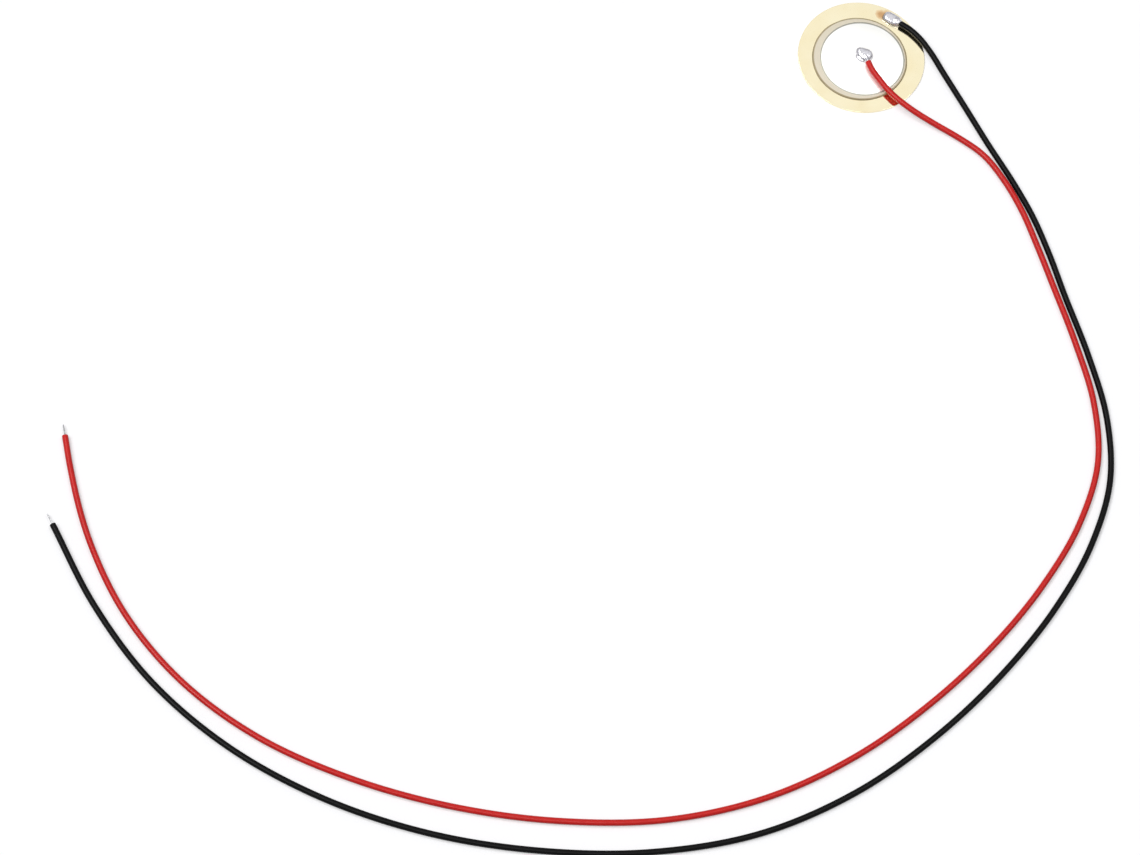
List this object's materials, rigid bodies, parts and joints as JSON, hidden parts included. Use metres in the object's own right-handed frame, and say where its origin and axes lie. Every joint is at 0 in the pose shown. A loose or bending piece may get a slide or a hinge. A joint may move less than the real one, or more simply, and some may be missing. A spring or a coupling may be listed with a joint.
{
  "type": "piezo disc with leads",
  "caption": "Flat round piezo disc: a thin ceramic bonded to a brass plate, with a soldered red and a soldered black lead. It turns a signal into sound, or a knock into a signal.",
  "frame": {"origin": "centre of the brass plate, on its back face", "axes": "+Z out of the ceramic side, through the plate's thickness; the black lead's joint lies on the +Y side of the rim; the leads leave towards +X and run on towards -Y"},
  "size_m": [0.2132, 0.2061, 0.0023],
  "materials": {
    "brass": "bright rolled strip",
    "adhesive": "cured epoxy film",
    "fired_silver": "matte fired silver paste",
    "piezo_ceramic": "sintered lead zirconate titanate, satin",
    "solder": "bright solder",
    "red_pvc": "extruded PVC",
    "black_pvc": "extruded PVC",
    "tinned_copper": "tinned copper strands"
  },
  "bodies": {
    "root": {"brass_plate": "brass", "bond_layer": "adhesive", "rear_electrode": "fired_silver", "ceramic_disc": "piezo_ceramic", "front_electrode": "fired_silver", "centre_solder": "solder", "rim_solder": "solder", "red_insulation": "red_pvc", "red_conductor": "tinned_copper", "black_insulation": "black_pvc", "black_conductor": "tinned_copper"}
  },
  "joints": []
}
